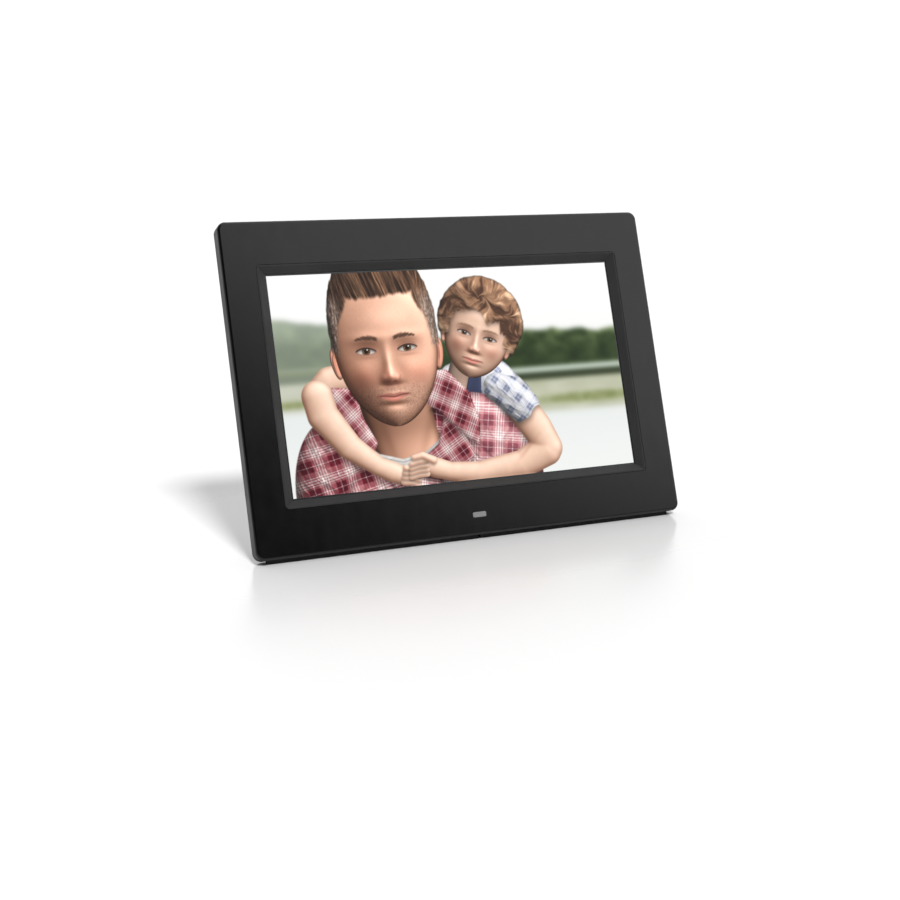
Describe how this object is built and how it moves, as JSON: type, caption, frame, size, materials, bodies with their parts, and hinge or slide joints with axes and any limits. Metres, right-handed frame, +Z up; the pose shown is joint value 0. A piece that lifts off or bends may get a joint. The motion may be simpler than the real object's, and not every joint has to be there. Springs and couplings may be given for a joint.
{
  "type": "digital photo frame",
  "caption": "Tabletop digital photo frame: wide flat black bezel round a lit widescreen display, raised rear housing with sockets and push buttons, and a fold-out stand leg.",
  "frame": {"origin": "on the surface that the frame stands on, under the middle of its bounding box, with the stand leg open", "axes": "+Z up, -Y towards the viewer, +X to the viewer's right; the panel leans back 20 degrees"},
  "size_m": [0.1884, 0.0642, 0.1278],
  "materials": {
    "bezel_plastic": "black, polished mould, soft gloss",
    "trim_plastic": "dark grey, fine satin",
    "smoked_window": "smoked grey, clear to infrared",
    "rubber": "black, matt",
    "black_foam": "black closed-cell foam",
    "screen_glass": "lit display behind an anti-glare face",
    "white_film": "milky diffuser film",
    "clear_plastic": "clear acrylic",
    "white_plastic": "white moulded",
    "tray_steel": "zinc-plated sheet",
    "screw_steel": "zinc-plated",
    "flex_amber": "polyimide flexible cable",
    "cover_plastic": "black, fine spark texture",
    "screw_black": "black oxide",
    "stand_plastic": "black, fine spark texture",
    "button_plastic": "black, satin",
    "black_plastic": "black moulded",
    "board_green": "green solder mask",
    "chip_black": "epoxy package",
    "can_aluminium": "drawn can",
    "cell_chrome": "polished steel cell",
    "socket_steel": "tinned sheet",
    "brass": "nickel-flashed contact",
    "magnet_iron": "ferrite magnet and yoke",
    "speaker_paper": "pressed paper cone",
    "lead_rubber": "insulated lead"
  },
  "bodies": {
    "frame": {"front_bezel": "bezel_plastic", "display_trim": "trim_plastic", "ir_window": "smoked_window", "rubber_feet": "rubber", "lcd_gasket": "black_foam", "lcd_glass": "screen_glass", "diffuser_film": "white_film", "light_guide": "clear_plastic", "backlight_frame": "white_plastic", "led_strip": "white_plastic", "lcd_tray": "tray_steel", "lcd_screws": "screw_steel", "lcd_ribbon": "flex_amber", "rear_cover": "cover_plastic", "housing_screws": "screw_black", "hinge_pin": "screw_steel", "stand_washers": "screw_steel", "tact_switches": "black_plastic", "key_board": "board_green", "key_screws": "screw_steel", "key_ribbon": "flex_amber", "main_board": "board_green", "board_screws": "screw_steel", "processor": "chip_black", "memory_chips": "chip_black", "capacitors": "can_aluminium", "clock_cell": "cell_chrome", "cell_holder": "black_plastic", "usb_shell": "socket_steel", "usb_tongue": "white_plastic", "card_socket": "socket_steel", "dc_jack": "black_plastic", "dc_pin": "brass", "earphone_jack": "black_plastic", "lead_connectors": "white_plastic", "ir_board": "board_green", "ir_receiver": "black_plastic", "speaker_baskets": "socket_steel", "speaker_magnets": "magnet_iron", "speaker_cones": "speaker_paper", "speaker_gaskets": "black_foam", "speaker_screws": "screw_steel", "backlight_lead": "lead_rubber", "speaker_leads": "lead_rubber", "ir_lead": "lead_rubber"},
    "stand_leg": {"kickstand": "stand_plastic", "stand_foot_pad": "rubber"},
    "key_power": {"button_power": "button_plastic"},
    "key_menu": {"button_menu": "button_plastic"},
    "key_up": {"button_up": "button_plastic"},
    "key_down": {"button_down": "button_plastic"},
    "key_left": {"button_left": "button_plastic"},
    "key_right": {"button_right": "button_plastic"},
    "key_exit": {"button_exit": "button_plastic"}
  },
  "joints": [
    {"name": "stand_fold", "type": "hinge", "parent": "frame", "child": "stand_leg", "pos_m": [0, 0.00916, 0.07042], "axis": [-1, 0, 0], "range_deg": [0, 36]},
    {"name": "press_power", "type": "slide", "parent": "frame", "child": "key_power", "axis": [0, -0.9397, 0.342], "range_m": [0, 0.0004], "stiffness_N_per_m": 900, "springref_m": -0.0006},
    {"name": "press_menu", "type": "slide", "parent": "frame", "child": "key_menu", "axis": [0, -0.9397, 0.342], "range_m": [0, 0.0004], "stiffness_N_per_m": 900, "springref_m": -0.0006},
    {"name": "press_up", "type": "slide", "parent": "frame", "child": "key_up", "axis": [0, -0.9397, 0.342], "range_m": [0, 0.0004], "stiffness_N_per_m": 900, "springref_m": -0.0006},
    {"name": "press_down", "type": "slide", "parent": "frame", "child": "key_down", "axis": [0, -0.9397, 0.342], "range_m": [0, 0.0004], "stiffness_N_per_m": 900, "springref_m": -0.0006},
    {"name": "press_left", "type": "slide", "parent": "frame", "child": "key_left", "axis": [0, -0.9397, 0.342], "range_m": [0, 0.0004], "stiffness_N_per_m": 900, "springref_m": -0.0006},
    {"name": "press_right", "type": "slide", "parent": "frame", "child": "key_right", "axis": [0, -0.9397, 0.342], "range_m": [0, 0.0004], "stiffness_N_per_m": 900, "springref_m": -0.0006},
    {"name": "press_exit", "type": "slide", "parent": "frame", "child": "key_exit", "axis": [0, -0.9397, 0.342], "range_m": [0, 0.0004], "stiffness_N_per_m": 900, "springref_m": -0.0006}
  ]
}
